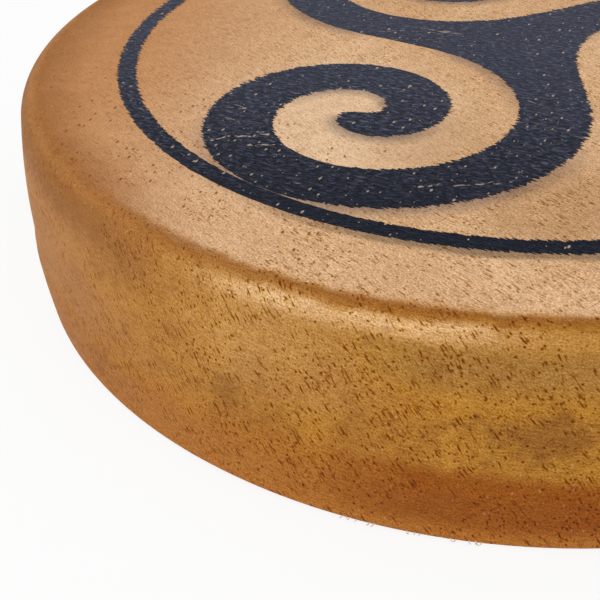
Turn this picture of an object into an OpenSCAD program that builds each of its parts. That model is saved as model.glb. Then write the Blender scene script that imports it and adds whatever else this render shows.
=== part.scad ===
// Two-headed ocean drum: rawhide heads on a bent wooden shell, with loose steel shot inside.
// It lies flat on its lower head: the origin is the centre of the underside and +Z points up.
// The playing face on top is printed with a thin ring round a three-armed spiral.

/* [Drum] */
// Diameter over the playing hide where the side is widest
drum_d = 405; // [370:1:480]
// Height from the lower head's underside to the playing face
drum_h = 81; // [60:1:140]

/* [Shell] */
// Thickness of the bent wooden hoop where it is widest
shell_t = 12.5; // [11:0.5:16]
// How far the hoop's outer face swells out between its edges
swell_t = 3.2; // [0.5:0.1:6]
// Rounding of the hoop's outer edge under the playing head
bearing_r = 7; // [3:0.5:7.5]
// Rounding of the hoop's outer edge over the lower head
lower_edge_r = 1; // [0.5:0.5:3]
// Rounding of the hoop's inner edges
inner_edge_r = 1.5; // [0.5:0.5:2]

/* [Hides] */
// Thickness of the rawhide
hide_t = 1; // [0.6:0.1:1.6]
// Height to which the lower hide laps up the side
lap_h = 25; // [15:1:40]
// Height over which the upper hide bulges out over the lap
bulge_h = 4; // [2:0.5:8]
// Height of the upper hide's trimmed hem above the lower hide's turn
hem_rise = 0.3; // [0.2:0.1:3]

/* [Print] */
// Thickness of the ink
ink_t = 0.2; // [0.1:0.05:0.4]
// Gap from the spiral's widest reach to the printed ring
ring_gap = 0.15; // [0.1:0.05:2]
// Width of the printed ring
ring_w = 7.3; // [3:0.1:12]
// Width of the spiral's band
band_w = 25.6; // [10:0.1:28]
// Distance from one turn of the spiral to the next
turn_pitch = 50.6; // [45:0.1:55]
// Distance of each curl's centre from the drum's axis
curl_centre_r = 89.9; // [80:0.1:92]
// Direction from the drum's axis to the first curl's centre, in degrees
curl_centre_angle = -124.9; // [-180:0.1:180]

/* [Shot] */
// Diameter of a steel ball
ball_d = 6; // [4:0.5:8]
// Play under and beside the balls
ball_play = 0.3; // [0.2:0.05:0.6]
// Room between the balls of neighbouring rows
row_gap = 0.5; // [0.4:0.1:1]
// Gap from ball to ball along a row
row_ball_gap = 0.1; // [0.05:0.05:0.5]
// Balls that run round the wall
rim_ball_count = 16; // [6:1:16]

/* [Hidden] */

// One length by which every cut runs past what it cuts
overrun = 1;
// How far a rounding's middle is moved out, so that it crosses the side and leaves no step there
edge_proud = 0.003;
// Facets of a full circle, and of the large circle that the side follows
round_n = 96;
swell_n = 960;

// Radii from the drum's axis where the side is widest, and of the shell's straight inner face
drum_r = drum_d / 2;
shell_r = drum_r - hide_t;
shell_inner_r = shell_r - shell_t;
// Height at which the side is widest, as a share of the drum's height
widest_share = 0.47;
widest_z = drum_h * widest_share;
// Radius of the large circle that the side follows, and how far its middle is from the axis
swell_r = (pow(drum_h / 2, 2) + pow(swell_t, 2)) / (2 * swell_t);
swell_centre_r = shell_r - swell_r;
// Heights of the shell between the two heads
shell_z0 = hide_t;
shell_z1 = drum_h - hide_t;

// Arms of the spiral, and the angle from each to the next
arm_count = 3;
full_angle = 360;
arm_angle = full_angle / arm_count;
// The first curl's turning is counted anticlockwise from this direction
down_angle = -90;
// Radius of the band's middle line at angle zero
spiral_start_r = 4.9;
// Angles at which the band's outer edge starts and gives way to the next arm
outer_start_angle = -72;
outer_end_angle = 463;
// Angles at which the band's inner edge starts and ends
inner_start_angle = 121;
inner_end_angle = 517;
// Angle from one point of an edge to the next
point_angle = 7.7;
// Points along a blend curve
blend_count = 10;
// Handle lengths of the blends, as shares of the band's width
tip_outer_handle_share = 0.24;
tip_inner_handle_share = 0.42;
hub_handle_share = 0.45;
// Heights of the lower hide's turn and of the upper hide's trimmed hem
lower_turn_r = lower_edge_r + hide_t;
hem_z = lower_turn_r + hem_rise;
// Rows of shot, the middle row's number and the radius of the round pool that they make
row_count = 11;
middle_row = (row_count + 1) / 2;
row_pitch = ball_d + row_gap;
pool_r = middle_row * row_pitch;
ball_pitch = ball_d + row_ball_gap;
ball_r = ball_d / 2;
ball_z = hide_t + ball_play + ball_r;
rim_path_r = shell_inner_r - ball_play - ball_r;

hide_colour = [0.80, 0.62, 0.44];
lower_hide_colour = [0.60, 0.38, 0.16];
wood_colour = [0.76, 0.60, 0.42];
ink_colour = [0.14, 0.15, 0.18];
steel_colour = [0.72, 0.73, 0.75];

// Radius of the face that lies layer_t outside the shell, at height z
function side_r(layer_t, z) =
    swell_centre_r + sqrt(pow(swell_r + layer_t, 2) - pow(z - widest_z, 2));

// Rounding of the shell's inner edges, limited by the flat that is left beside the outer one
inner_r = min(inner_edge_r, (side_r(-bearing_r, shell_z1 - bearing_r) - shell_inner_r) / 2);

// Half profile from z0 to z1 of all that lies inside that face. The outer edge is rounded at
// the top by top_r and at the bottom by low_r, as measured on the shell under the layers
module body_profile(layer_t, z0, z1, top_r, low_r) {
    difference() {
        intersection() {
            translate([0, z0]) square([drum_d, z1 - z0]);
            translate([swell_centre_r, widest_z]) circle(r = swell_r + layer_t, $fn = swell_n);
        }
        if (top_r > 0) edge_cut(layer_t, z1, top_r, 1);
        if (low_r > 0) edge_cut(layer_t, z0, low_r, -1);
    }
}

// What such a rounding takes off the outer corner at height z; side is 1 for the upper corner
// and -1 for the lower one. The rounding runs smoothly into the side at the height meet_z
module edge_cut(layer_t, z, edge_r, side) {
    cut_r = edge_r + layer_t;
    centre_z = z - side * cut_r;
    centre_r = side_r(-edge_r, centre_z) + edge_proud;
    meet_z = centre_z + cut_r * (centre_z - widest_z) / (swell_r - edge_r);
    difference() {
        translate([centre_r, side > 0 ? meet_z : z - overrun])
            square([cut_r + overrun, abs(z - meet_z) + overrun]);
        translate([centre_r, centre_z]) circle(r = cut_r, $fn = round_n);
    }
}

// What the rounding takes off the shell's inner corner at height z
module inner_corner_cut(z, side) {
    difference() {
        translate([shell_inner_r - overrun, side > 0 ? z - inner_r : z - overrun])
            square([inner_r + overrun, inner_r + overrun]);
        translate([shell_inner_r + inner_r, z - side * inner_r])
            circle(r = inner_r, $fn = round_n);
    }
}

// The space that the shell fills, as half a profile out to its outer face
module shell_body_profile() {
    body_profile(0, shell_z0, shell_z1, bearing_r, lower_edge_r);
}

module shell() {
    color(wood_colour) rotate_extrude($fn = round_n) difference() {
        shell_body_profile();
        translate([-overrun, 0]) square([shell_inner_r + overrun, drum_h]);
        inner_corner_cut(shell_z0, -1);
        inner_corner_cut(shell_z1, 1);
    }
}

// The lower hide: a disc under the shell that turns up round its edge and laps up the side
module lower_head() {
    color(lower_hide_colour) rotate_extrude($fn = round_n) difference() {
        body_profile(hide_t, 0, lap_h, 0, lower_edge_r);
        body_profile(0, hide_t, lap_h + overrun, 0, lower_edge_r);
    }
}

// The upper hide: the playing face, the turn over the bearing edge and the collar down the
// side, which bulges out over the lower hide's lap and ends in a trimmed hem
module upper_head() {
    color(hide_colour) rotate_extrude($fn = round_n) difference() {
        collar_profile(hide_t, hem_z, drum_h);
        collar_profile(0, hem_z - overrun, shell_z1);
    }
}

// Half profile from z0 to z1 of all that lies inside the collar's outer face, or inside its
// inner one where layer_t is 0. The lap pushes it out by a further hide, up to a sloping face
module collar_profile(layer_t, z0, z1) {
    bulge_top = lap_h + bulge_h;
    bulge_end_r = side_r(layer_t, bulge_top);
    slope = (side_r(layer_t + hide_t, lap_h) - bulge_end_r) / bulge_h;
    body_profile(layer_t, z0, z1, bearing_r, 0);
    intersection() {
        body_profile(layer_t + hide_t, z0, bulge_top + overrun, 0, 0);
        polygon([[0, z0], [bulge_end_r + slope * (bulge_top - z0), z0],
                 [bulge_end_r - slope * overrun, bulge_top + overrun], [0, bulge_top + overrun]]);
    }
}

// A flat film of ink on the playing face
module ink() {
    color(ink_colour) translate([0, 0, drum_h]) linear_extrude(height = ink_t) children();
}

// Point at radius r and angle a from the centre c
function polar(c, r, a) = [c[0] + r * cos(a), c[1] + r * sin(a)];

// Direction of travel, anticlockwise, along a spiral that widens by turn_pitch a turn
function travel(r, a) =
    let (climb = turn_pitch / (2 * PI))
    [climb * cos(a) - r * sin(a), climb * sin(a) + r * cos(a)] / norm([climb, r]);

// Middle of curl number arm, and the direction there at an angle turned by the band
function curl_centre(arm) = polar([0, 0], curl_centre_r, curl_centre_angle + arm * arm_angle);
function direction(arm, turned) = down_angle + turned + arm * arm_angle;

// Radius of the band's edge at an angle turned: side is 1 outside and -1 inside
function edge_r(turned, side) =
    spiral_start_r + turn_pitch * turned / full_angle + side * band_w / 2;
function edge_point(arm, turned, side) =
    polar(curl_centre(arm), edge_r(turned, side), direction(arm, turned));
function edge_travel(arm, turned, side) = travel(edge_r(turned, side), direction(arm, turned));

// Angles from one to another in even steps
function edge_angles(from, to) =
    let (n = ceil(abs(to - from) / point_angle))
    [for (i = [0 : n]) from + (to - from) * i / n];

// Points strictly between the ends of a smooth curve from p to q that leaves along u and
// arrives along v, with handles of lengths a and b
function blend(p, u, a, q, v, b) =
    [for (i = [1 : blend_count - 1])
        let (t = i / blend_count, s = 1 - t)
        p * pow(s, 3) + (p + u * a) * 3 * s * s * t + (q - v * b) * 3 * s * t * t + q * pow(t, 3)];

// Outline from the tip of one curl along its outer edge, across to the next arm's inner edge
// and back along that edge into the next curl
function arm_outline(arm) = concat(
    [for (a = edge_angles(outer_start_angle, outer_end_angle)) edge_point(arm, a, 1)],
    blend(edge_point(arm, outer_end_angle, 1), edge_travel(arm, outer_end_angle, 1),
          band_w * hub_handle_share,
          edge_point(arm + 1, inner_end_angle, -1), -edge_travel(arm + 1, inner_end_angle, -1),
          band_w * hub_handle_share),
    [for (a = edge_angles(inner_end_angle, inner_start_angle)) edge_point(arm + 1, a, -1)],
    blend(edge_point(arm + 1, inner_start_angle, -1), -edge_travel(arm + 1, inner_start_angle, -1),
          band_w * tip_inner_handle_share,
          edge_point(arm + 1, outer_start_angle, 1), edge_travel(arm + 1, outer_start_angle, 1),
          band_w * tip_outer_handle_share));

// The whole outline, and the ring that runs just outside it
triskele_outline = [for (arm = [0 : arm_count - 1]) each arm_outline(arm)];
ring_inner_r = max([for (p = triskele_outline) norm(p)]) + ring_gap;

module printed_ring() {
    ink() difference() {
        circle(r = ring_inner_r + ring_w, $fn = round_n);
        circle(r = ring_inner_r, $fn = round_n);
    }
}

module printed_triskele() {
    ink() polygon(triskele_outline);
}

module ball() {
    sphere(r = ball_r, $fn = round_n);
}

// The balls that run round the wall
module shot_rim() {
    color(steel_colour) for (i = [0 : rim_ball_count - 1])
        rotate((i + 1 / 2) * 360 / rim_ball_count) translate([rim_path_r, 0, ball_z]) ball();
}

// Balls in row number row of the pool
function row_y(row) = (row - middle_row) * row_pitch;
function row_balls(row) = 1 + floor(2 * sqrt(pow(pool_r, 2) - pow(row_y(row), 2)) / ball_pitch);

module shot_row(row) {
    n = row_balls(row);
    color(steel_colour) for (i = [0 : n - 1])
        translate([(i - (n - 1) / 2) * ball_pitch, row_y(row), ball_z]) ball();
}

shell();
lower_head();
upper_head();
printed_ring();
printed_triskele();
shot_rim();
shot_row(1);  // shot_row_01
shot_row(2);  // shot_row_02
shot_row(3);  // shot_row_03
shot_row(4);  // shot_row_04
shot_row(5);  // shot_row_05
shot_row(6);  // shot_row_06
shot_row(7);  // shot_row_07
shot_row(8);  // shot_row_08
shot_row(9);  // shot_row_09
shot_row(10);  // shot_row_10
shot_row(11);  // shot_row_11
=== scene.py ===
"""Dresses the ocean drum: its rawhide heads, printed triskele, wooden hoop and steel shot."""
import logging
import math
import random
from dataclasses import dataclass
from enum import Enum
from typing import Any, Callable, Optional, Sequence, Union

import bpy
from mathutils import Matrix, Vector


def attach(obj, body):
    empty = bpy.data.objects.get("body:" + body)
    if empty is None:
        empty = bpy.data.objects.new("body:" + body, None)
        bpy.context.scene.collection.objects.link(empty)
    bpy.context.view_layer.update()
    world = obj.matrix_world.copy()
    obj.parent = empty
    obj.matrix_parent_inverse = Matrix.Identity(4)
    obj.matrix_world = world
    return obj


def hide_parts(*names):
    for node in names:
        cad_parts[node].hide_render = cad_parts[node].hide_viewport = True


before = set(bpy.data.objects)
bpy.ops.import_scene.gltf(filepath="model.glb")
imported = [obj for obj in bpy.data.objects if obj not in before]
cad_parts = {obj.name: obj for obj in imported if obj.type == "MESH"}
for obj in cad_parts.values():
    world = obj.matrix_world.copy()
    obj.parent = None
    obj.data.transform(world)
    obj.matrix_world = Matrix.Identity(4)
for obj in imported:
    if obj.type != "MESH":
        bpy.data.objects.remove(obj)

logging.basicConfig(level=logging.INFO, format="%(name)s: %(message)s")
log = logging.getLogger("ocean_drum")

# Lengths are counted in millimetres, and MM turns them into the metres that Blender takes.
# Directions and turns are in degrees.
MM = 0.001
ARMS = 3
WHITE = (1.0, 1.0, 1.0)
Pair = tuple[float, float]
Point = tuple[float, float, float]
Colour = tuple[float, float, float]
Number = Union[float, "Value"]
Socket = bpy.types.NodeSocket
Node = bpy.types.Node
Piece = bpy.types.Object
Material = bpy.types.Material


def rgb(red: int, green: int, blue: int) -> Colour:
    """Turns a colour in screen steps of 0 to 255 into scene-linear numbers."""
    shares = (step / 255 for step in (red, green, blue))
    return tuple(s / 12.92 if s <= 0.04045 else ((s + 0.055) / 1.055) ** 2.4 for s in shares)


def arithmetic(operation: str) -> Callable[..., "Value"]:
    """Makes a method of Value that adds a Math node for the operation."""
    def method(value: "Value", *others: Number) -> "Value":
        """The operation on the value and the others."""
        return value.maths(operation, *others)
    return method


class Value:
    """A number in a node tree, with the usual arithmetic."""

    __add__, __sub__ = arithmetic("ADD"), arithmetic("SUBTRACT")
    __mul__, __truediv__ = arithmetic("MULTIPLY"), arithmetic("DIVIDE")
    __pow__, __abs__ = arithmetic("POWER"), arithmetic("ABSOLUTE")

    def __init__(self, shader: "Shader", socket: Socket) -> None:
        """Wraps an output socket of the shader's tree."""
        self.shader = shader
        self.socket = socket

    def __rsub__(self, other: float) -> "Value":
        """other - self."""
        return self.shader.maths("SUBTRACT", other, self)

    def __neg__(self) -> "Value":
        """-self."""
        return self * -1.0

    def maths(self, operation: str, *others: Number) -> "Value":
        """Adds a Math node on this value and the others."""
        return self.shader.maths(operation, self, *others)

    def peak(self, *others: Number) -> "Value":
        """The largest of this value and the others."""
        largest = self
        for other in others:
            largest = largest.maths("MAXIMUM", other)
        return largest

    def swing(self, size: float) -> "Value":
        """Turns noise about 0.5 into a swing of this size about 0."""
        return (self - 0.5) * size

    def step(self, low: float, high: float) -> "Value":
        """Rises smoothly from 0 at low to 1 at high, or falls where low is above high."""
        rising = low < high
        made = self.shader.node("MapRange", {
            "Value": self, "From Min": min(low, high), "From Max": max(low, high),
            "To Min": 0.0 if rising else 1.0, "To Max": 1.0 if rising else 0.0},
            interpolation_type="SMOOTHSTEP")
        return Value(self.shader, made.outputs["Result"])


class Shader:
    """The node tree of one material or of the sky, written as Python expressions."""

    def __init__(self, name: str, owner: Optional[bpy.types.World] = None) -> None:
        """Starts the tree of a new material called name, or of the owner."""
        owner = owner or bpy.data.materials.new(name)
        owner.use_nodes = True
        self.owner = owner
        self.tree = owner.node_tree
        self.tree.nodes.clear()

    def node(self, kind: str, sockets: dict[Union[str, int], Any], **settings: str) -> Node:
        """Adds one node.

        Args:
            kind: Blender's name of the node's type, after ShaderNode.
            sockets: values or links of its inputs, by name or number.
            settings: the node's own settings, which are set first.

        Returns:
            The new node.
        """
        made = self.tree.nodes.new("ShaderNode" + kind)
        for name, value in settings.items():
            setattr(made, name, value)
        for name, value in sockets.items():
            self.connect(made.inputs[name], value)
        return made

    def connect(self, socket: Socket, value: Any) -> None:
        """Feeds a socket from a value, another socket or a constant."""
        if isinstance(value, Value):
            self.tree.links.new(value.socket, socket)
        elif isinstance(value, Socket):
            self.tree.links.new(value, socket)
        elif isinstance(value, tuple) and len(value) == 3 and len(socket.default_value) == 4:
            socket.default_value = (*value, 1.0)
        else:
            socket.default_value = value

    def maths(self, operation: str, *values: Number) -> Value:
        """Adds a Math node for the operation on up to three values."""
        made = self.node("Math", dict(enumerate(values)), operation=operation)
        return Value(self, made.outputs[0])

    def vector(self, x: Number, y: Number, z: Number = 0.0) -> Socket:
        """Joins three numbers into a vector."""
        return self.node("CombineXYZ", {0: x, 1: y, 2: z}).outputs[0]

    def spaced(self, place: Sequence[Value], spacing: Sequence[float]) -> Socket:
        """A place of two or three numbers as a vector that counts in these spacings."""
        return self.vector(*(number / size for number, size in zip(place, spacing)))

    def streaks(self, place: Sequence[Value], spacing: Sequence[float], detail: float,
                rough: float = 0.5, warp: float = 0.0) -> Value:
        """Soft noise about 0.5 that is as long each way as the spacings."""
        return self.noise(self.spaced(place, spacing), 1.0, detail, rough, warp)

    def noise(self, at: Socket, scale: float, detail: float, rough: float = 0.5,
              warp: float = 0.0) -> Value:
        """Soft noise about 0.5, with scale in turns for each unit of the vector."""
        made = self.node("TexNoise", {"Vector": at, "Scale": scale, "Detail": detail,
                                      "Roughness": rough, "Distortion": warp})
        return Value(self, made.outputs[0])

    def cells(self, at: Socket) -> tuple[Value, Value, Value]:
        """Scattered points: how far the nearest one is, and two random numbers of its own."""
        made = self.node("TexVoronoi", {"Vector": at, "Scale": 1.0}, voronoi_dimensions="2D")
        split = self.node("SeparateColor", {0: made.outputs["Color"]})
        return (Value(self, made.outputs["Distance"]), Value(self, split.outputs[0]),
                Value(self, split.outputs[1]))

    def mix(self, share: Number, first: Any, second: Any, blend: str = "MIX") -> Socket:
        """Mixes two colours: share 0 gives the first and 1 the second."""
        sockets = {0: share, 6: first, 7: second}
        return self.node("Mix", sockets, data_type="RGBA", blend_type=blend).outputs[2]

    def between(self, share: Number, first: Number, second: Number) -> Value:
        """Mixes two numbers: share 0 gives the first and 1 the second."""
        made = self.node("Mix", {0: share, 2: first, 3: second}, data_type="FLOAT")
        return Value(self, made.outputs[0])

    def place(self) -> tuple[Value, Value, Value, Socket]:
        """The point's place: three numbers in millimetres, and a vector in metres for noise."""
        at = self.node("TexCoord", {}).outputs["Object"]
        split = self.node("SeparateXYZ", {0: at})
        x, y, z = (Value(self, split.outputs[i]) / MM for i in range(3))
        return x, y, z, at

    def looked_at(self) -> Value:
        """1 where the camera looks, also by a mirror, and 0 where light is gathered."""
        path = self.node("LightPath", {})
        seen, *mirrored = (Value(self, path.outputs[kind]) for kind in (
            "Is Camera Ray", "Is Glossy Ray", "Is Transmission Ray"))
        return seen.peak(*mirrored)

    def close(self, output: str, share: Value, first: Node, second: Node) -> None:
        """Ends the tree in a mix of two surfaces or backgrounds."""
        both = self.node("MixShader", {0: share, 1: first.outputs[0], 2: second.outputs[0]})
        self.node(output, {"Surface": both.outputs[0]})

    def finish(self, colour: Socket, height: Value, relief: float, rough: Value,
               **constants: float) -> Material:
        """Ends the tree in a Principled surface.

        Args:
            colour: what makes the base colour.
            height: the surface's relief, from 0 to 1.
            relief: how high a relief of 1 stands.
            rough: the roughness.
            constants: further sockets, which are the same all over.

        Returns:
            The finished material.
        """
        bump = self.node("Bump", {"Strength": 1.0, "Distance": relief * MM, "Height": height})
        sockets = {"Base Color": colour, "Roughness": rough, "Normal": bump.outputs[0]}
        sockets.update({name.replace("_", " "): value for name, value in constants.items()})
        surface = self.node("BsdfPrincipled", sockets)
        self.node("OutputMaterial", {"Surface": surface.outputs[0]})
        return self.owner


class Paint:
    """A colour over which further colours are laid."""

    def __init__(self, shader: Shader, colour: Any) -> None:
        """Starts with one colour."""
        self.shader = shader
        self.colour = colour

    def lay(self, share: Number, colour: Any, blend: str = "MIX") -> None:
        """Lays a colour over what is there: share 0 leaves that and 1 covers it."""
        self.colour = self.shader.mix(share, self.colour, colour, blend)


@dataclass(frozen=True)
class DrumSizes:
    """The drum's own sizes, as the solids have them."""

    hoop_outer: float = 201.5
    height: float = 81
    hide: float = 1
    swell: float = 3.2
    widest_share: float = 0.47
    bearing: float = 7
    lower_edge: float = 1
    lap: float = 25
    bulge: float = 4
    hem: float = 2.3
    ink: float = 0.08

    def side(self, layer: float, height: float) -> float:
        """Distance from the axis, at a height, of the face that lies layer outside the hoop."""
        bow = ((self.height / 2) ** 2 + self.swell ** 2) / (2 * self.swell)
        rise = height - self.height * self.widest_share
        return self.hoop_outer - bow + math.sqrt((bow + layer) ** 2 - rise ** 2)

    @property
    def turn(self) -> float:
        """Radius of the upper hide's turn over the bearing edge."""
        return self.bearing + self.hide

    @property
    def crease(self) -> float:
        """Distance from the axis at which the playing face starts to turn down."""
        return self.side(-self.bearing, self.height - self.turn)

    @property
    def lower_turn(self) -> float:
        """Radius of the lower hide's turn under the hoop."""
        return self.lower_edge + self.hide

    @property
    def foot(self) -> float:
        """Distance from the axis at which the resting face starts to turn up."""
        return self.side(-self.lower_edge, self.lower_turn)


class Side(Enum):
    """Which of the two hides a finish is for."""

    PLAYING = "playing"
    RESTING = "resting"


@dataclass(frozen=True)
class Marks:
    """One layer of marks, scattered at these distances along the hair and off it.

    Attributes:
        reach: half length of the largest mark, as a share of those distances.
        share: share of the places that hold a mark.
        dark: strength of the marks.
    """

    along: float
    off: float
    reach: float
    share: float
    dark: float = 1.0


@dataclass(frozen=True)
class Spot:
    """A round place on the playing face, which fades from its inner to its outer radius."""

    x: float
    y: float
    outer: float
    inner: float


@dataclass(frozen=True)
class Blot:
    """A ragged stain on the side, which reaches this far sideways and up and down."""

    x: float
    z: float
    width: float
    tall: float
    dark: float


class HideShader(Shader):
    """The node tree of a hide, which knows where on it a point lies and how it varies there."""

    heart_spot = Spot(-65, -85, 76, 28)
    edge_haze, edge_reach, left_haze = 7, 3, 60

    def __init__(self, name: str, sizes: DrumSizes, edge: float) -> None:
        """Starts a material for a hide that turns at the distance edge from the axis."""
        super().__init__(name)
        self.x, self.y, self.z, self.at = self.place()
        self.radius = (self.x * self.x + self.y * self.y) ** 0.5
        self.arc = self.radius - self.z + (sizes.height - sizes.crease)
        self.wall = self.radius.maths("GREATER_THAN", edge)
        self.broad = self.noise(self.at, 14.0, 3.0, 0.55)
        self.patch = self.noise(self.at, 38.0, 4.0, 0.6, 0.4)
        self.blotch = self.noise(self.at, 110.0, 3.0, 0.65, 0.3)
        hazy = self.radius + self.blotch.swing(self.edge_haze)
        self.turned_down = hazy.step(edge - self.edge_reach, edge + self.edge_reach)
        self.heart = self.near(self.heart_spot)
        around = self.maths("ARCTAN2", self.x, -self.y) * sizes.hoop_outer
        self.across = self.split(self.x, around)
        self.up = self.split(self.y, self.z - self.radius)

    def split(self, face: Number, wall: Number) -> Value:
        """One number on the face and another on the wall."""
        return self.between(self.wall, face, wall)

    def near(self, spot: Spot, ragged: float = 0.0) -> Value:
        """1 within the spot and 0 beyond it, with an edge that wanders by ragged."""
        away = ((self.x - spot.x) ** 2 + (self.y - spot.y) ** 2) ** 0.5
        return (away + self.patch.swing(ragged)).step(spot.outer, spot.inner)

    def left(self, start: float, end: float) -> Value:
        """Rises from 0 at start to 1 at end, which are distances to the left of the axis."""
        return (self.broad.swing(self.left_haze) - self.x).step(start, end)

    def turned(self, degrees: float, wall_degrees: Optional[float] = None) -> tuple[Value, Value]:
        """The place along and across a direction, which may be another one on the wall."""
        c, s = math.cos(math.radians(degrees)), math.sin(math.radians(degrees))
        along, off = self.across * c + self.up * s, self.up * c - self.across * s
        if wall_degrees is None:
            return along, off
        wall_along, wall_off = self.turned(wall_degrees)
        return self.split(along, wall_along), self.split(off, wall_off)


@dataclass(frozen=True)
class Rawhide:
    """Goat rawhide: mottled tan with short dark follicle marks and a fine pale grain.

    Attributes:
        hair: direction of the follicle marks on the face and on the wall.
        grain: direction of the grain on the face and on the wall.
        ring_edge: distance from the axis of the shade beside the printed ring.
        dusky_depth: distance before the axis of the dusky band on the face.
        lap_edge: heights at which the lap's dark band begins and is full.
    """

    side: Side
    sizes: DrumSizes
    face_pale: Colour = rgb(226, 183, 140)
    face_mid: Colour = rgb(212, 165, 119)
    face_heart: Colour = rgb(240, 205, 168)
    face_dusky: Colour = rgb(190, 145, 100)
    face_orange: Colour = rgb(190, 128, 72)
    # Painted shade colour for the face's rim on the left.
    face_rim_shade: Colour = rgb(162, 104, 52)
    face_shaded: Colour = rgb(150, 120, 90)
    # Painted shadow colour beside the spiral's edges.
    ink_shadow: Colour = rgb(60, 60, 75)
    wall_gold: Colour = rgb(200, 140, 54)
    wall_brown: Colour = rgb(174, 114, 44)
    wall_bright: Colour = rgb(206, 146, 54)
    wall_pale: Colour = rgb(214, 164, 102)
    wall_rose: Colour = rgb(190, 130, 76)
    wall_low: Colour = rgb(184, 116, 44)
    wall_dull: Colour = rgb(180, 124, 40)
    stain: Colour = rgb(136, 82, 34)
    crease_dark: Colour = rgb(152, 92, 32)
    # Painted shade colour for the turn on the left.
    turn_shade_brown: Colour = rgb(156, 100, 46)
    # Painted highlight colour for the band along the turn.
    turn_highlight: Colour = rgb(230, 184, 130)
    under_turn: Colour = rgb(166, 120, 60)
    lap_dark: Colour = rgb(150, 79, 14)
    hem_orange: Colour = rgb(192, 122, 46)
    rust: Colour = rgb(146, 76, 20)
    steeped: Colour = (0.88, 0.70, 0.22)
    follicle: Colour = rgb(96, 39, 4)
    fleck: Colour = rgb(226, 184, 138)
    hair: Pair = (-43.0, -58.0)
    grain: Pair = (-46.0, -8.0)
    fleck_hair: float = -75.0
    dot_hair: float = -90.0
    ring_edge: float = 162
    dusky_depth: float = 132
    dusky_spot: Spot = Spot(-20, -98, 38, 10)
    lap_edge: Pair = (35, 28)
    blots: tuple[Blot, ...] = (
        Blot(24, 48, 30, 11, 0.65), Blot(-76, 41, 13, 10, 0.45), Blot(-12, 66, 9, 4, 0.5),
        Blot(-110, 66, 24, 9, 0.22))
    follicles: tuple[Marks, ...] = (
        Marks(8.5, 1.4, 0.22, 0.30), Marks(15.0, 1.2, 0.22, 0.20, 0.8),
        Marks(4.2, 1.6, 0.23, 0.28), Marks(2.4, 1.9, 0.23, 0.28),
        Marks(1.5, 1.2, 0.20, 0.26, 0.6), Marks(3.4, 2.9, 0.15, 0.15))
    dots: Marks = Marks(5.2, 2.6, 0.19, 0.14)
    flecks: Marks = Marks(6.5, 3.4, 0.11, 0.34)

    def colour(self, p: HideShader) -> tuple[Socket, Value, Value]:
        """The hide's colour, its relief from 0 to 1 and the share of follicle marks."""
        marks, core, stained, spread = self._follicle_marks(p)
        fine, grain = self._hair_grain(p)
        if self.side is Side.PLAYING:
            skin = Paint(p, self._face(p))
            skin.lay(p.turned_down, self._wall(p))
            self._rim(p, skin)
        else:
            skin = Paint(p, self.face_orange)
            skin.lay(p.broad.step(0.35, 0.65), self.wall_gold)
            skin.lay(p.blotch.step(0.5, 0.7) * 0.4, self.wall_brown)
            skin.lay(p.wall, self.hem_orange)
        skin.lay(spread, self.rust)
        soft = (p.left(60, 170) * 0.52).peak(p.heart * 0.35)
        light = grain * (1.0 - soft) + p.blotch.swing(0.40)
        tint = p.node("CombineColor", {
            0: light * p.between(p.turned_down, 0.95, 0.80) + 1.0,
            1: light * 1.08 + 1.0,
            2: (light * p.between(p.turned_down, 1.3, 2.1) + 1.0).peak(0.1)})
        skin.lay(1.0, tint.outputs[0], "MULTIPLY")
        skin.lay(stained * p.split(0.6, 1.0), self.steeped, "MULTIPLY")
        skin.lay(core, self.follicle)
        flecks = self._scatter(p, p.turned(self.fleck_hair), self.flecks, p.patch)
        skin.lay(flecks * p.split(0.15, 0.32), self.fleck)
        height = fine * 0.35 + p.blotch * 0.25 + (1.0 - marks * marks) * 0.4
        return skin.colour, height, marks

    @staticmethod
    def _scatter(p: HideShader, place: Sequence[Value], marks: Marks, crowd: Value) -> Value:
        """Slim marks at random places, the larger ones darker.

        Args:
            p: the hide's node tree.
            place: the place along and across the hair.
            marks: what the marks are like.
            crowd: raises the share of places with a mark where it is over 0.5.

        Returns:
            Up to the marks' strength in the middle of one and 0 outside.
        """
        shift = 1000 * marks.reach
        near, chance, tone = p.cells(
            p.vector(place[0] / marks.along + shift, place[1] / marks.off - shift))
        there = (chance + crowd.swing(1.7)).maths("GREATER_THAN", 1.0 - marks.share)
        mark = (near / (tone * (0.6 * marks.reach) + 0.4 * marks.reach)).step(1.55, 0.30)
        return mark * there * (tone * 0.5 + 0.5) * marks.dark

    def _follicle_marks(self, p: HideShader) -> tuple[Value, Value, Value, Value]:
        """Hair marks: their share, their dark core, the stain round it and the rust beyond."""
        along, off = p.turned(*self.hair)
        wander = (p.noise(p.at, 75.0, 2.0).swing(2.4)
                  + p.noise(p.at, 430.0, 1.0).swing(0.8))
        place = along, off + wander
        crease = p.arc.step(-1, 3) * p.arc.step(15, 8)
        crowd = p.noise(p.at, 55.0, 2.0) + crease * p.left(20, -10) * 0.10
        first, *others = (self._scatter(p, place, kind, crowd) for kind in self.follicles)
        marks = first.peak(*others)
        near, chance, _ = p.cells(p.spaced(place, (6.0, 3.2)))
        spread = near.step(0.42, 0.04) * (chance + crowd.swing(1.2)).step(0.62, 0.95)
        there = p.split(0.74, 0.97) - (p.left(55, 180) * 0.6).peak(p.heart * 0.4)
        dots = (self._scatter(p, p.turned(self.dot_hair), self.dots, crowd)
                * p.left(5, 60) * (-p.y).step(10, 90) * (1.0 - p.wall))
        return (marks, (marks * marks * there).peak(dots * 0.9),
                (marks.step(0.0, 0.42) * there).peak(dots.step(0.0, 0.4) * 0.7),
                spread * p.split(0.22, 0.36))

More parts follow.
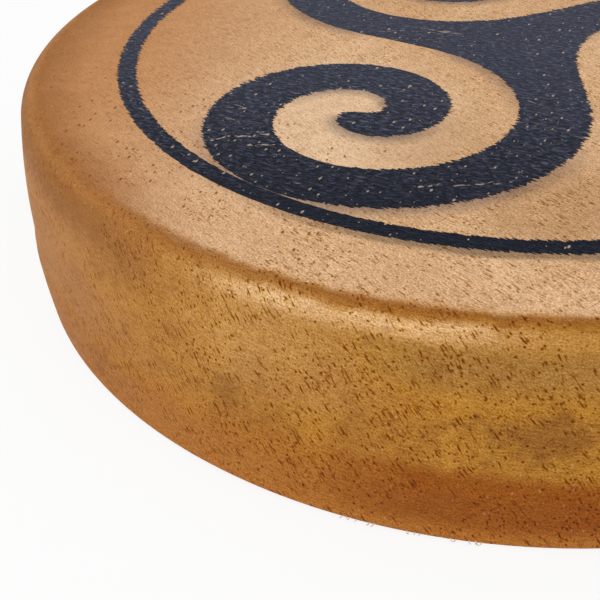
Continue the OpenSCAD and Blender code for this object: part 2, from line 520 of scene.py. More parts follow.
    def _hair_grain(self, p: HideShader) -> tuple[Value, Value]:
        """Fine grain drawn out along the hair: its relief about 0.5, and its light about 0."""
        fine = p.streaks(p.turned(self.grain[0]), (0.85, 0.46), 2.0, 0.7)
        strand = p.streaks(p.turned(*self.grain), (4.6, 0.85), 3.0, 0.6)
        pale = abs(strand - 0.57).step(0.04, 0.0)
        dark = abs(strand - 0.41).step(0.04, 0.0)
        return fine, fine.swing(2.3) + pale * 0.34 - dark * 0.24

    def _face(self, p: HideShader) -> Socket:
        """The playing face: pale tan, more orange towards the left rim, partly as painted shade,
        with painted shade beside the ink and the ring.
        """
        skin = Paint(p, self.face_mid)
        skin.lay(p.broad.step(0.30, 0.70), self.face_pale)
        skin.lay(p.patch.step(0.50, 0.72) * 0.45, self.face_mid)
        skin.lay(p.heart * 0.62, self.face_heart)
        dusky = (p.x + p.patch.swing(30)).step(-26, 16)
        skin.lay(dusky * abs(p.y + self.dusky_depth).step(44, 12) * 0.8, self.face_dusky)
        skin.lay(p.near(self.dusky_spot, 20) * 0.52, self.face_dusky)
        # Painted shadow: a soft grey-blue shade on the face beside the front-facing edges of the
        # spiral.
        skin.lay(self._ink_shadow(p) * (p.patch * 0.5 + 0.26), self.ink_shadow)
        # Painted shade, partly the hide's own tone: the face turns darker and more orange towards
        # the left, away from the key light.
        skin.lay(p.left(62, 180) * 0.9, self.face_orange)
        beside = abs(p.radius + p.patch.swing(3) - self.ring_edge).step(4.4, 1.6)
        front = (-p.y).step(60, 150)
        skin.lay(beside * front * (0.95 - p.left(20, 110) * 0.8), self.face_shaded)
        # Painted shade: the face's rim turns brown on the left, away from the key light.
        wear_and_painted_light = (p.radius + p.patch.swing(14)).step(170, 192)
        skin.lay(wear_and_painted_light * p.left(84, 150) * 0.9, self.face_rim_shade)
        return skin.colour

    def _ink_shadow(self, p: HideShader) -> Value:
        """Painted shadow beside the spiral, on the side of each edge that looks to the front."""
        ink = Print(self.sizes)
        half = ink.band / ink.pitch / 2
        arms = []
        for arm in range(ARMS):
            lead = math.radians(ink.curl_angle + 360 / ARMS * arm)
            x = p.x - ink.curl_distance * math.cos(lead)
            y = p.y - ink.curl_distance * math.sin(lead)
            reach = (x * x + y * y) ** 0.5
            turns = (reach - ink.start) / ink.pitch
            off = turns - p.maths("ARCTAN2", y, x) / math.tau - (0.25 - arm / ARMS)
            off = off - off.maths("ROUND")
            side = off.maths("SIGN")
            on = turns - off
            # The edges end, in turns of the spiral, at the curl's tip and at the hub.
            tip, hub = (on + side * 0.268).step(0.04, 0.10), (on + side * 0.075).step(1.39, 1.33)
            facing = (-(y * side / reach)).step(-0.1, 0.8)
            arms.append(abs(off).step(half + 0.17, half) * (tip * hub) * facing)
        return arms[0].peak(*arms[1:])

    def _wall(self, p: HideShader) -> Socket:
        """The collar down the side: golden brown, blotchy, dark where it lies over the lap."""
        place = p.x, p.y, p.z
        streak = p.streaks(place, (40, 40, 60), 4.0, 0.62, 0.5)
        level = p.streaks(place, (85, 85, 17), 4.0, 0.6, 0.3)
        skin = Paint(p, self.wall_brown)
        skin.lay(streak.step(0.34, 0.66), self.wall_gold)
        skin.lay(level.step(0.48, 0.68) * 0.7, self.wall_bright)
        skin.lay(p.left(60, 150) * 0.75, self.wall_rose)
        high = (p.z + p.patch.swing(26)).step(34, 62)
        skin.lay(high * p.left(16, 60) * p.left(100, 72) * 0.44, self.wall_pale)
        skin.lay(p.left(24, -20) * 0.75, self.wall_dull)
        skin.lay((p.z + p.patch.swing(16)).step(40, 16) * 0.75, self.wall_low)
        skin.lay((p.patch * 0.6 + p.blotch * 0.4).step(0.55, 0.70) * 0.4, self.wall_brown)
        skin.lay((level * 0.5 + p.blotch * 0.5).step(0.58, 0.70) * 0.5, self.stain)
        for blot in self.blots:
            away = (((p.x - blot.x) / blot.width) ** 2 + ((p.z - blot.z) / blot.tall) ** 2) ** 0.5
            ragged = away + p.patch.swing(1.6) + p.blotch.swing(2.6)
            skin.lay(ragged.step(1.05, 0.25) * blot.dark, self.stain)
        lap = (p.z + p.broad.swing(5) + p.patch.swing(7)).step(*self.lap_edge) * p.left(62, 14)
        skin.lay(lap * (p.patch * 0.9 + 0.42), self.lap_dark)
        skin.lay((p.z + p.blotch.swing(6)).step(13, 3.5) * 0.85, self.hem_orange)
        return skin.colour

    def _rim(self, p: HideShader, skin: Paint) -> None:
        """The turn over the bearing edge: a dark crease, a painted highlight band and a dull one,
        with painted shade towards the left.
        """
        arc = p.arc + p.patch.swing(5.5) + p.blotch.swing(4.5)
        dull = arc.step(11, 18) * arc.step(36, 22)
        skin.lay(dull * (1.0 - p.left(0, 60)) * 0.75, self.under_turn)
        # Painted highlight: a pale band along the turn, strongest at the front right, where the
        # key light shines, and fainter further round.
        highlight_reach = (p.left(-17, 9) * 0.85 + p.left(-90, -30) * 0.15) * p.left(102, 60)
        pale = arc.step(4.5, 8.5) * arc.step(17, 10) * highlight_reach
        skin.lay(pale * (p.patch.step(0.28, 0.62) * 0.5 + 0.5), self.turn_highlight)
        # Painted shade: the turn grows browner towards the left, away from the key light.
        left_turn_shade = arc.step(3, 8) * arc.step(30, 14) * p.left(84, 130)
        skin.lay(left_turn_shade * 0.8, self.turn_shade_brown)
        start = (p.arc + p.left(50, 100) * 2.2 + p.blotch.swing(4)).step(-1.4, 2.2)
        dark = start * arc.step(9, 1.5)
        skin.lay(dark * (p.patch * 0.35 + 0.72 - p.left(40, 150) * 0.35), self.crease_dark)

    def shader(self, name: str) -> HideShader:
        """An empty material's node tree for this hide."""
        s = self.sizes
        return HideShader(name, s, s.crease if self.side is Side.PLAYING else s.foot)

    def material(self, name: str) -> Material:
        """The finished material, called name."""
        p = self.shader(name)
        skin, height, marks = self.colour(p)
        return p.finish(skin, height, 0.3, marks * 0.15 + 0.60, Specular_IOR_Level=0.11)


@dataclass(frozen=True)
class CutHide:
    """The pale cut ends of rawhide fibres."""

    pale: Colour = rgb(236, 218, 188)
    tan: Colour = rgb(220, 190, 150)

    def material(self, name: str) -> Material:
        """The finished material, called name."""
        shader = Shader(name)
        _, _, _, at = shader.place()
        mottle = shader.noise(at, 900.0, 3.0, 0.6)
        colour = shader.mix(mottle.step(0.4, 0.62), self.tan, self.pale)
        return shader.finish(colour, mottle, 0.05, mottle * 0.1 + 0.6, Specular_IOR_Level=0.1)


@dataclass(frozen=True)
class Ink:
    """Blue-black ink that follows the hide's grain, with pinholes, a few fine cracks and painted
    highlights.

    Attributes:
        hair: direction of the grain that shows in the ink.
        cracks: where each crack of flaked-off ink starts and ends on the face.
    """

    hide: Rawhide
    deep: Colour = rgb(8, 14, 32)
    # Painted highlight colours for the ink's raised grain.
    pale: Colour = rgb(64, 68, 88)
    glint: Colour = rgb(136, 140, 156)
    dusty: Colour = rgb(220, 204, 194)
    hair: float = -17.0
    cracks: tuple[tuple[float, float, float, float], ...] = (
        (-102, -105.5, -94, -99.5), (-93, -100, -80, -96), (-15, -125, 4, -119.5),
        (-39.5, -55, -36, -48), (-87, -106.5, -77, -104), (-27, -127.5, -18, -124.5))

    def material(self, name: str) -> Material:
        """The finished material, called name."""
        p = self.hide.shader(name)
        skin, _, _ = self.hide.colour(p)
        place = p.turned(self.hair)
        emboss = p.streaks(place, (2.7, 1.3), 3.0, 0.6, 0.7)
        ahead = -p.y
        # Painted shade: the paler share is cut down towards the front of the face.
        front = 1.0 - ahead.step(85, 140) * 0.5 - ahead.step(125, 150) * 0.35
        # Painted highlights: the raised grain takes the paler blue as if lit, and more of it
        # towards the back as a painted sheen.
        wear_and_painted_light = (emboss.step(0.43, 0.61) * 0.8 + p.blotch.swing(0.2)
                + ahead.step(120, 50) * 0.22 + ahead.step(70, 10) * 0.2)
        body = Paint(p, self.deep)
        body.lay(wear_and_painted_light * front, self.pale)
        # Painted glint on the highest ridges.
        body.lay(emboss.step(0.58, 0.68) * front * 0.38, self.glint)
        holes = self._holes(p, place, (4.4, 9.0), 0.40, 0.21).peak(
            self._holes(p, place, (2.6, 5.0), 0.62, 0.23))
        ridge = abs(p.streaks(place, (90, 16), 1.0) - 0.5)
        where = p.noise(p.at, 21.0, 2.0, 0.5, 0.8).step(0.58, 0.62) * emboss.step(0.45, 0.56)
        gone = (holes * 0.8).peak(ridge.step(0.005, 0.0015) * where * 0.7, self._worn_cracks(p))
        body.lay(gone, p.mix(0.60, skin, self.dusty))
        rough = p.blotch * 0.12 + gone * 0.15 + 0.42
        return p.finish(body.colour, emboss - gone * 0.3, 2.2, rough, Specular_IOR_Level=0.05)

    def _worn_cracks(self, p: HideShader) -> Value:
        """Thin broken lines in which the ink has flaked off."""
        wander = p.noise(p.at, 260.0, 2.0).swing(4)
        broken = p.noise(p.at, 620.0, 2.0).step(0.42, 0.50)
        lines = []
        for x, y, end_x, end_y in self.cracks:
            way = Vector((end_x - x, end_y - y))
            c, s = way.normalized()
            on = (p.x - x) * c + (p.y - y) * s
            off = (p.y - y) * c - (p.x - x) * s + wander
            ends = on.step(0, 1) * on.step(way.length, way.length - 1)
            lines.append(abs(off).step(0.75, 0.3) * ends)
        return lines[0].peak(*lines[1:]) * broken * 0.85

    @staticmethod
    def _holes(p: HideShader, place: Sequence[Value], spacing: Pair, rare: float,
               reach: float) -> Value:
        """Pinholes in the ink, which are few where rare is large and wide where reach is."""
        near, chance, _ = p.cells(p.spaced(place, spacing))
        return (near / ((chance - rare) * reach).peak(0.001)).step(1.1, 0.7)


@dataclass(frozen=True)
class BentWood:
    """Sanded bent hardwood: long grain round the hoop, pores and one glued scarf."""

    sizes: DrumSizes
    early: Colour = rgb(214, 180, 132)
    late: Colour = rgb(168, 122, 76)
    glue: Colour = rgb(96, 62, 34)

    def material(self, name: str) -> Material:
        """The finished material, called name."""
        shader = Shader(name)
        x, y, z, at = shader.place()
        radius = (x * x + y * y) ** 0.5
        length = shader.maths("ARCTAN2", x, y) * self.sizes.hoop_outer
        bow = shader.noise(at, 9.0, 2.0) * 1.6
        rings = shader.noise(shader.vector(length / 300, z / 11 + bow, radius / 4), 1.0, 4.0, 0.55)
        pores = shader.streaks((length, z, radius), (12, 0.6, 0.6), 2.0).step(0.60, 0.72)
        wood = Paint(shader, self.early)
        wood.lay(rings.step(0.36, 0.64), self.late)
        wood.lay(pores * 0.55, self.glue)
        scarf = abs(length - (z - 40) * 0.35 - (radius - self.sizes.hoop_outer) * 6.0)
        wood.lay(scarf.step(0.55, 0.25) * 0.8, self.glue)
        height = rings * 0.3 + (1.0 - pores) * 0.4
        rough = rings * 0.12 + 0.46
        return shader.finish(wood.colour, height, 0.12, rough, Specular_IOR_Level=0.4)


@dataclass(frozen=True)
class SteelShot:
    """Bright steel balls, lightly scuffed from rolling."""

    bright: Colour = rgb(206, 208, 212)
    scuffed: Colour = rgb(158, 160, 165)

    def material(self, name: str) -> Material:
        """The finished material, called name."""
        shader = Shader(name)
        _, _, _, at = shader.place()
        wear_and_painted_light = shader.noise(at, 420.0, 4.0, 0.65, 0.6)
        scratch = shader.noise(at, 1900.0, 2.0, 0.5, 1.5)
        colour = shader.mix(wear_and_painted_light.step(0.40, 0.70), self.bright, self.scuffed)
        rough = wear_and_painted_light.step(0.35, 0.75) * 0.22 + 0.12
        return shader.finish(colour, scratch, 0.01, rough, Metallic=1.0)


class Bench:
    """The modelling moves that the drum's pieces share."""

    @staticmethod
    def clear() -> None:
        """Leaves edit mode and deselects everything."""
        if bpy.context.object and bpy.context.object.mode != "OBJECT":
            bpy.ops.object.mode_set(mode="OBJECT")
        bpy.ops.object.select_all(action="DESELECT")

    @staticmethod
    def pick(*pieces: Piece) -> None:
        """Leaves edit mode and selects these pieces, the first as the active one."""
        Bench.clear()
        for piece in pieces:
            piece.select_set(True)
        bpy.context.view_layer.objects.active = pieces[0]

    @staticmethod
    def select() -> None:
        """Selects the whole mesh in edit mode."""
        bpy.ops.mesh.select_all(action="SELECT")

    @staticmethod
    def edit() -> None:
        """Enters edit mode with the whole mesh selected."""
        bpy.ops.object.mode_set(mode="EDIT")
        Bench.select()

    @staticmethod
    def leave() -> None:
        """Goes back to object mode."""
        bpy.ops.object.mode_set(mode="OBJECT")

    @staticmethod
    def settle() -> None:
        """Puts the selected pieces' places into their meshes."""
        bpy.ops.object.transform_apply(location=True, rotation=True, scale=True)

    @staticmethod
    def face_outwards() -> None:
        """Lets all faces of the edited mesh look outwards."""
        Bench.select()
        bpy.ops.mesh.normals_make_consistent(inside=False)

    @staticmethod
    def extrude(move: Vector) -> None:
        """Draws out what is selected in edit mode."""
        bpy.ops.mesh.extrude_region_move(TRANSFORM_OT_translate={"value": move * MM})

    @staticmethod
    def start_line(points: Sequence[Point], name: str) -> Piece:
        """Draws a line through the points by extruding one corner, and stays in edit mode."""
        Bench.clear()
        bpy.ops.mesh.primitive_plane_add(size=MM, location=Vector(points[0]) * MM)
        piece = bpy.context.object
        piece.name = name
        Bench.edit()
        bpy.ops.mesh.merge(type="CENTER")
        for before, after in zip(points, points[1:]):
            Bench.extrude(Vector(after) - Vector(before))
        return piece

    @staticmethod
    def turn_arc(out: float, up: float, radius: float, rise: int, step: int) -> list[Pair]:
        """Points of nearly a quarter circle of a profile, step degrees apart.

        It starts over its middle where rise is 1 and under it where rise is -1.
        """
        angles = [math.radians(degrees) for degrees in range(0, 82, step)]
        return [(out + radius * math.sin(a), up + rise * radius * math.cos(a)) for a in angles]

    @staticmethod
    def spin(profile: Sequence[Pair], steps: int, name: str) -> Piece:
        """Turns a profile that starts and ends on the drum's axis into a closed solid."""
        piece = Bench.start_line([(0.0, -out, up) for out, up in profile], name)
        Bench.select()
        bpy.ops.mesh.spin(steps=steps, angle=math.tau, center=(0, 0, 0), axis=(0, 0, 1))
        Bench.select()
        bpy.ops.mesh.remove_doubles(threshold=0.002 * MM)
        Bench.face_outwards()
        return piece

    @staticmethod
    def displace(piece: Piece, name: str, size: float, depth: int, strength: float,
                 **settings: str) -> None:
        """Moves a piece's points by clouds of a size with depth finer layers over them.

        The lowest and the highest go strength apart. Settings are the modifier's own.
        """
        clouds = bpy.data.textures.new(name, "CLOUDS")
        clouds.noise_scale = size * MM
        clouds.noise_depth = depth
        modifier = piece.modifiers.new(name, "DISPLACE")
        modifier.texture = clouds
        modifier.texture_coords = "LOCAL"
        modifier.mid_level = 0.5
        modifier.strength = strength * MM
        for setting, value in settings.items():
            setattr(modifier, setting, value)
        bpy.context.view_layer.objects.active = piece
        bpy.ops.object.modifier_apply(modifier=modifier.name)

    @staticmethod
    def finish(piece: Piece, material: Material, body: str, slot: str, nodes: Sequence[str],
               angle: float = 40.0) -> None:
        """Puts the piece's place into its mesh, dresses it and hands it to its body."""
        Bench.pick(piece)
        Bench.settle()
        bpy.ops.object.shade_smooth_by_angle(angle=math.radians(angle))
        piece.data.materials.clear()
        piece.data.materials.append(material)
        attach(piece, body)
        if nodes:
            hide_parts(*nodes)
        log.info("%s: %d faces, for %s", piece.name, len(piece.data.polygons), list(nodes))


@dataclass
class UpperHide:
    """The upper rawhide: playing face, turn over the rim, collar down the side and hem.

    Attributes:
        waves: size and depth of the side's unevenness.
        wave_band: heights between which the side is uneven, and wave_fade from them fully so.
        seen_tufts: directions of the fibre tufts that the photograph shows.
        tufts: number of further tufts, at random places.
    """

    sizes: DrumSizes
    face_rings: tuple[float, ...] = (0, 24, 48, 72, 96, 118, 138, 154, 168, 179, 186, 190)
    side_heights: tuple[float, ...] = (72, 68, 64, 60, 56, 52, 48, 44, 40, 36, 32)
    lap_heights: tuple[float, ...] = (25, 22, 19, 16, 13, 10, 7.5, 5.5, 4.2)
    steps: int = 288
    waves: Pair = (38, 0.9)
    wave_band: Pair = (3, 73)
    wave_fade: float = 3
    seen_tufts: tuple[float, ...] = (-94.6, -91.4, -88.7, -98.2, -100.6)
    tufts: int = 22
    fibre: tuple[Point, ...] = (
        (0.05, -0.5, -0.1), (0.15, -0.4, -0.3), (0.3, -0.2, -0.35), (0.3, 0.0, -0.2))

    @property
    def hem(self) -> Vector:
        """The outer edge of the hem at the front."""
        s = self.sizes
        return Vector((0, -s.side(2 * s.hide, s.hem), s.hem))

    def profile(self) -> list[Pair]:
        """The half outline from the middle of the playing face out, down and back inside."""
        s = self.sizes
        lapped, step_top, turn_level = 2 * s.hide, s.lap + s.bulge, s.height - s.turn
        made = [(r, s.height) for r in self.face_rings]
        made += Bench.turn_arc(s.crease, turn_level, s.turn, 1, 7)
        made += [(s.side(s.hide, z), z) for z in self.side_heights]
        made += [(s.side(s.hide, step_top) + 0.15, step_top),
                 (s.side(lapped, s.lap) - 0.3, s.lap + 1.8)]
        made += [(s.side(lapped, z), z) for z in self.lap_heights]
        made += [(s.side(lapped, s.hem) - 0.08, s.hem + 0.5), (s.side(lapped, s.hem) - 0.3, s.hem)]
        made += [(s.side(s.hide, s.hem), s.hem), (s.side(s.hide, s.lap), s.lap)]
        made += [(s.side(0, z), z) for z in (step_top, 45, 60, 70)]
        made += reversed(Bench.turn_arc(s.crease, turn_level, s.bearing, 1, 7))
        return made + [(r, s.height - s.hide) for r in (150, 75, 0)]

    def build(self, material: Material, cut: Material) -> None:
        """Models the hide and the cut fibres along its hem."""
        skin = Bench.spin(self.profile(), self.steps, "upper_rawhide")
        self._wave(skin)
        Bench.finish(skin, material, "drum", "rawhide", ["upper_head"])
        self._fibres(cut)

    def _wave(self, skin: Piece) -> None:
        """Lets the outer side wander a little, as hide does that was stretched on wet."""
        Bench.leave()
        group = skin.vertex_groups.new(name="uneven")
        low, high = self.wave_band
        for vertex in skin.data.vertices:
            place = (vertex.co + skin.matrix_world.translation) / MM
            outwards = vertex.normal.x * place.x + vertex.normal.y * place.y > 0
            if outwards and low < place.z < high:
                share = min(place.z - low, high - place.z) / self.wave_fade
                group.add([vertex.index], min(1.0, share), "REPLACE")
        Bench.displace(skin, "hide_waves", self.waves[0], 2, self.waves[1],
                       vertex_group=group.name)

    def _fibre(self) -> Piece:
        """One curled fibre, which comes out of the hem at the front."""
        Bench.clear()
        root = (self.hem + Vector((0, 0.7, 0.4))) * MM
        bpy.ops.mesh.primitive_circle_add(vertices=5, radius=0.28 * MM, fill_type="NGON",
                                          location=root, rotation=(math.radians(70), 0, 0))
        fibre = bpy.context.object
        Bench.edit()
        for move in self.fibre:
            Bench.extrude(Vector(move))
            bpy.ops.transform.resize(value=(0.86, 0.86, 0.86))
        Bench.face_outwards()
        Bench.leave()
        Bench.settle()
        return fibre

    def _fibres(self, material: Material) -> None:
        """Tufts of cut fibres at uneven distances round the hem."""
        draw = random.Random(11)
        fibre = self._fibre()
        tufts = list(self.seen_tufts) + [draw.uniform(-70, 170) for _ in range(self.tufts)]
        made = []
        for tuft in tufts:
            for _ in range(draw.randint(2, 4)):
                Bench.pick(fibre)
                bpy.ops.object.duplicate()
                made.append(bpy.context.object)
                size = draw.uniform(0.55, 1.25)
                bpy.ops.transform.resize(value=(draw.choice((-size, size)), size, size),
                                         center_override=self.hem * MM)
                turn = math.radians(tuft + 90 + draw.uniform(-0.8, 0.8))
                bpy.ops.transform.rotate(value=-turn, orient_axis="Z", center_override=(0, 0, 0))
                Bench.settle()
        Bench.pick(fibre, *made)
        bpy.ops.object.join()
        fibre.name = "hem_fibres"
        Bench.edit()
        Bench.face_outwards()
        # On pieces as thin as these that step settles on inwards, all alike.
        bpy.ops.mesh.flip_normals()
        Bench.finish(fibre, material, "drum", "rawhide", [], 60.0)


@dataclass
class LowerHide:
    """The lower rawhide: the resting face, its turn at the edge and the lap inside the collar."""

    sizes: DrumSizes
    face_rings: tuple[float, ...] = (0, 40, 80, 118, 150, 174, 188)
    lap_heights: tuple[float, ...] = (3, 6, 10, 15, 20, 25)
    steps: int = 224

    def profile(self) -> list[Pair]:
        """The half outline from the middle of the resting face out, up the lap and back."""
        s = self.sizes
        made = [(r, 0.0) for r in self.face_rings]
        made += Bench.turn_arc(s.foot, s.lower_turn, s.lower_turn, -1, 9)
        made += [(s.side(s.hide, z), z) for z in self.lap_heights]
        made += [(s.side(0, z), z) for z in (25, 14, 6, 3)]
        made += reversed(Bench.turn_arc(s.foot, s.lower_turn, s.lower_edge, -1, 9))
        return made + [(r, s.hide) for r in (150, 75, 0)]

    def build(self, material: Material) -> None:
        """Models the hide."""
        skin = Bench.spin(self.profile(), self.steps, "lower_rawhide")
        Bench.finish(skin, material, "drum", "rawhide_dark", ["lower_head"])


@dataclass
class Print:
    """The ink on the playing face: a three-armed spiral inside a thin ring.

    Attributes:
        curl_distance: distance of each arm's curl from the drum's axis.
        start: distance of the band's middle from the curl where the turn is 0.
        outer_turn: turns at which the band's outer edge starts and ends, at tip and hub.
        inner_turn: the same for its inner edge.
        tip_handles: how far the tip bulges, in widths of the band.
        hub_handle: how far the corners at the hub are rounded, in the same.
        hair_length: length along the hair of a step of the ragged edge.
        hair_ratio: that length over the step's width.
        creep: how far the edge goes from the lowest to the highest.
    """

    sizes: DrumSizes
    curl_distance: float = 89.9
    curl_angle: float = -124.9
    start: float = 4.9
    pitch: float = 50.6
    band: float = 25.6
    outer_turn: Pair = (-72, 463)
    inner_turn: Pair = (121, 517)
    tip_handles: Pair = (0.42, 0.24)
    hub_handle: float = 0.45
    edge_steps: int = 72
    blend_steps: int = 12
    outline_step: float = 2.3
    cuts: int = 7
    ring_inner: float = 154.2
    ring_width: float = 7.3
    ring_points: int = 3400
    hair_direction: float = -30.0
    hair_length: float = 9
    hair_ratio: float = 15.0
    creep: float = 5

    def edge(self, arm: int, turned: float, side: int) -> tuple[Vector, Vector]:
        """A point of an arm's edge and the way on from it.

        Args:
            arm: number of the arm.
            turned: angle in degrees, from straight down.
            side: 1 for the band's outer edge and -1 for its inner one.

        Returns:
            The point and the direction of travel, both flat.
        """
        lead = math.radians(self.curl_angle + 360 / ARMS * arm)
        angle = math.radians(turned - 90 + 360 / ARMS * arm)
        reach = self.start + self.pitch * turned / 360 + side * self.band / 2
        out = Vector((math.cos(angle), math.sin(angle)))
        on = Vector((-math.sin(angle), math.cos(angle)))
        centre = self.curl_distance * Vector((math.cos(lead), math.sin(lead)))
        return centre + reach * out, (self.pitch / math.tau * out + reach * on).normalized()

    def sweep(self, arm: int, start: float, end: float, side: int) -> list[Vector]:
        """Points of an arm's edge from one turn to another."""
        turns = (start + (end - start) * i / self.edge_steps for i in range(self.edge_steps + 1))
        return [self.edge(arm, turned, side)[0] for turned in turns]

    def blend(self, start: Vector, leave: Vector, end: Vector, arrive: Vector) -> list[Vector]:
        """Points between start and end on a smooth curve with these two handles."""
        made = []
        for i in range(1, self.blend_steps):
            t = i / self.blend_steps
            s = 1 - t
            made.append(start * s ** 3 + (start + leave) * 3 * s * s * t
                        + (end - arrive) * 3 * s * t * t + end * t ** 3)
        return made

    def outline(self) -> list[Vector]:
        """The whole spiral's outline, once round."""
        tip, hub = self.outer_turn
        inner_tip, inner_hub = self.inner_turn
        rounding = self.band * self.hub_handle
        leave, arrive = (self.band * handle for handle in self.tip_handles)
        made: list[Vector] = []
        for arm in range(ARMS):
            made += self.sweep(arm, tip, hub, 1)
            here, way = self.edge(arm, hub, 1)
            there, back = self.edge(arm + 1, inner_hub, -1)
            made += self.blend(here, way * rounding, there, -back * rounding)
            made += self.sweep(arm + 1, inner_hub, inner_tip, -1)
            here, way = self.edge(arm + 1, inner_tip, -1)
            there, back = self.edge(arm + 1, tip, 1)
            made += self.blend(here, -way * leave, there, back * arrive)
        return made

    @staticmethod
    def evenly(corners: Sequence[Vector], step: float) -> list[Vector]:
        """Points about a step apart along the closed outline through the corners."""
        loop = list(corners) + [corners[0]]
        lengths = [(b - a).length for a, b in zip(loop, loop[1:])]
        count = round(sum(lengths) / step)
        made, run, index = [], 0.0, 0
        for i in range(count):
            goal = sum(lengths) * i / count
            while run + lengths[index] < goal:
                run += lengths[index]
                index += 1
            share = (goal - run) / lengths[index]
            made.append(loop[index].lerp(loop[index + 1], share))
        return made

    def _comb(self, degrees: float, stretch: float) -> None:
        """Turns the outline about the drum's axis, then stretches it across the hair."""
        turn = {"value": math.radians(degrees), "orient_axis": "Z", "center_override": (0, 0, 0)}
        Bench.edit()
        if stretch > 1:
            bpy.ops.transform.rotate(**turn)
        bpy.ops.transform.resize(value=(1, stretch, 1), center_override=(0, 0, 0))
        if stretch < 1:
            bpy.ops.transform.rotate(**turn)
        Bench.leave()

    def roughen(self, piece: Piece) -> None:
        """Gives a flat outline the ragged edge that ink has where it creeps along the hair."""
        Bench.leave()
        Bench.settle()
        self._comb(self.hair_direction, self.hair_ratio)
        Bench.displace(piece, "ink_creep", self.hair_length, 1, self.creep, direction="X")
        self._comb(-self.hair_direction, 1 / self.hair_ratio)
        Bench.edit()

    def thicken(self) -> None:
        """Turns the selected flat shape into a film of the ink's thickness."""
        Bench.extrude(Vector((0, 0, self.sizes.ink)))
        Bench.face_outwards()

    def build(self, material: Material) -> None:
        """Models the spiral and the ring."""
        self._spiral(material)
        self._ring(material)

    def _spiral(self, material: Material) -> None:
        """The three-armed spiral as one ragged film."""
        corners = [(*corner, self.sizes.height)
                   for corner in self.evenly(self.outline(), self.outline_step)]
        piece = Bench.start_line(corners, "triskele_ink")
        Bench.select()
        bpy.ops.mesh.edge_face_add()
        bpy.ops.mesh.delete(type="ONLY_FACE")
        Bench.select()
        bpy.ops.mesh.subdivide(number_cuts=self.cuts)
        self.roughen(piece)
        bpy.ops.mesh.edge_face_add()
        self.thicken()
        Bench.finish(piece, material, "drum", "ink", ["printed_triskele"])

    def _ring(self, material: Material) -> None:
        """The thin ring as one ragged film."""
        Bench.clear()
        lift = (0, 0, self.sizes.height * MM)
        bpy.ops.mesh.primitive_circle_add(vertices=self.ring_points, radius=self.ring_inner * MM,
                                          location=lift)
        piece = bpy.context.object
        piece.name = "ring_ink"
        bpy.ops.object.mode_set(mode="EDIT")
        bpy.ops.mesh.primitive_circle_add(vertices=self.ring_points, location=lift,
                                          radius=(self.ring_inner + self.ring_width) * MM)
        self.roughen(piece)
        bpy.ops.mesh.fill(use_beauty=False)
        Bench.select()
        self.thicken()
        Bench.finish(piece, material, "drum", "ink", ["printed_ring"])


class Inside:
    """What the drum holds: the wooden hoop and the loose shot, as the solids have them."""

    def dress(self, wood: Material, steel: Material) -> None:
        """Gives each node inside its finish."""
        for name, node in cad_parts.items():
            if name == "shell":
                self._paint(node, wood)
            elif name.startswith("shot"):
                self._paint(node, steel)

    @staticmethod
    def _paint(node: Piece, material: Material) -> None:
        """Puts the material in every slot of a node."""
        if not node.material_slots:
            node.data.materials.append(material)
        for place in node.material_slots:
            place.material = material
        log.info("%s: dressed in %s", node.name, material.name)


@dataclass(frozen=True)
class Lamp:
    """One square softbox, with its side's length and its power in watts."""

    name: str
    place: Point
    size: float
    power: float


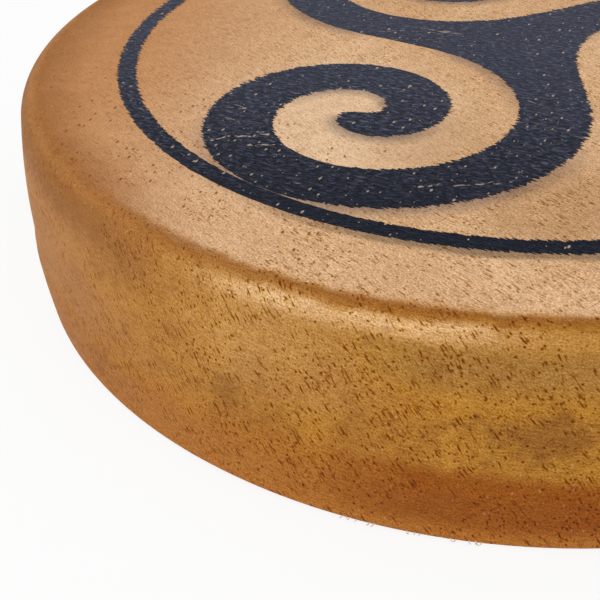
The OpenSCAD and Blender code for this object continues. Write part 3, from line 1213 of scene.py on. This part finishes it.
@dataclass
class Studio:
    """The camera of the photograph, its white ground and its soft light.

    Attributes:
        unit: length in which the photograph's perspective was fitted.
        distance: how many units the camera stands before the drum's axis.
        rise: how many units it stands over the playing face.
        focal_share: its focal length, as a share of the picture's width.
        floor_glow: share of plain white in the floor that is looked at.
        soft_light: strength of the light from all round.
    """

    sizes: DrumSizes
    unit: float = 200
    distance: float = 2.1065
    rise: float = 0.8154
    yaw: float = -12.548
    pitch: float = 35.025
    roll: float = -2.182
    focal_share: float = 1046.4 / 600
    sensor: float = 36.0
    floor_size: float = 12000
    floor_colour: Colour = (0.94, 0.94, 0.94)
    floor_glow: float = 0.88
    soft_light: float = 0.62
    aim: Point = (0, 0, 40)
    lamps: tuple[Lamp, ...] = (Lamp("key", (500, -1100, 1500), 900, 9.0),
                               Lamp("fill", (-1300, 0, 1200), 1100, 4.0))

    def camera(self) -> None:
        """Stands the camera where the photograph's perspective puts it."""
        turns = (-self.yaw, "Z"), (90 - self.pitch, "X"), (self.roll, "Z")
        yaw, pitch, roll = (Matrix.Rotation(math.radians(a), 4, axis) for a, axis in turns)
        place = Vector((0.0, -self.distance, self.rise)) * (self.unit * MM)
        place.z += self.sizes.height * MM
        data = bpy.data.cameras.new("photo_camera")
        data.sensor_width = self.sensor
        data.sensor_fit = "HORIZONTAL"
        data.lens = self.focal_share * self.sensor
        data.clip_start = 10 * MM
        camera = bpy.data.objects.new("photo_camera", data)
        bpy.context.scene.collection.objects.link(camera)
        camera.matrix_world = Matrix.Translation(place) @ yaw @ pitch @ roll
        bpy.context.scene.camera = camera
        log.info("camera: lens %.2f mm at %s", data.lens, tuple(round(v, 4) for v in place))

    def ground(self) -> None:
        """Lays the pale floor that the drum stands on."""
        Bench.clear()
        bpy.ops.mesh.primitive_plane_add(size=self.floor_size * MM, location=(0, 0, 0))
        floor = bpy.context.object
        floor.name = "floor"
        shader = Shader("white_floor")
        lit = shader.node("BsdfDiffuse", {"Color": self.floor_colour})
        glow = shader.node("Emission", {"Color": WHITE, "Strength": 1.0})
        shader.close("OutputMaterial", shader.looked_at() * self.floor_glow, lit, glow)
        floor.data.materials.append(shader.owner)

    def sky(self) -> None:
        """White all round for the camera, and an even soft light for the drum."""
        world = bpy.data.worlds.new("studio")
        bpy.context.scene.world = world
        shader = Shader("studio", world)
        soft, white = (shader.node("Background", {"Color": WHITE, "Strength": strength})
                       for strength in (self.soft_light, 1.0))
        shader.close("OutputWorld", shader.looked_at(), soft, white)

    def light(self, lamp: Lamp) -> None:
        """Hangs one softbox that faces the drum."""
        data = bpy.data.lights.new(lamp.name, "AREA")
        data.shape = "SQUARE"
        data.size = lamp.size * MM
        data.energy = lamp.power
        hung = bpy.data.objects.new(lamp.name, data)
        bpy.context.scene.collection.objects.link(hung)
        hung.location = Vector(lamp.place) * MM
        way = Vector(self.aim) - Vector(lamp.place)
        hung.rotation_euler = way.to_track_quat("-Z", "Y").to_euler()

    def build(self) -> None:
        """Sets up the camera, the ground and the light."""
        bpy.context.scene.view_settings.view_transform = "Standard"
        self.camera()
        self.ground()
        self.sky()
        for lamp in self.lamps:
            self.light(lamp)


def main() -> None:
    """Builds the studio and the drum, and notes its size."""
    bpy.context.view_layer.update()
    sizes = DrumSizes()
    Studio(sizes).build()
    playing = Rawhide(Side.PLAYING, sizes)
    UpperHide(sizes).build(playing.material("playing_rawhide"), CutHide().material("cut_rawhide"))
    LowerHide(sizes).build(Rawhide(Side.RESTING, sizes).material("resting_rawhide"))
    Print(sizes).build(Ink(playing).material("print_ink"))
    Inside().dress(BentWood(sizes).material("hoop_wood"), SteelShot().material("shot_steel"))


if __name__ == "__main__":
    main()
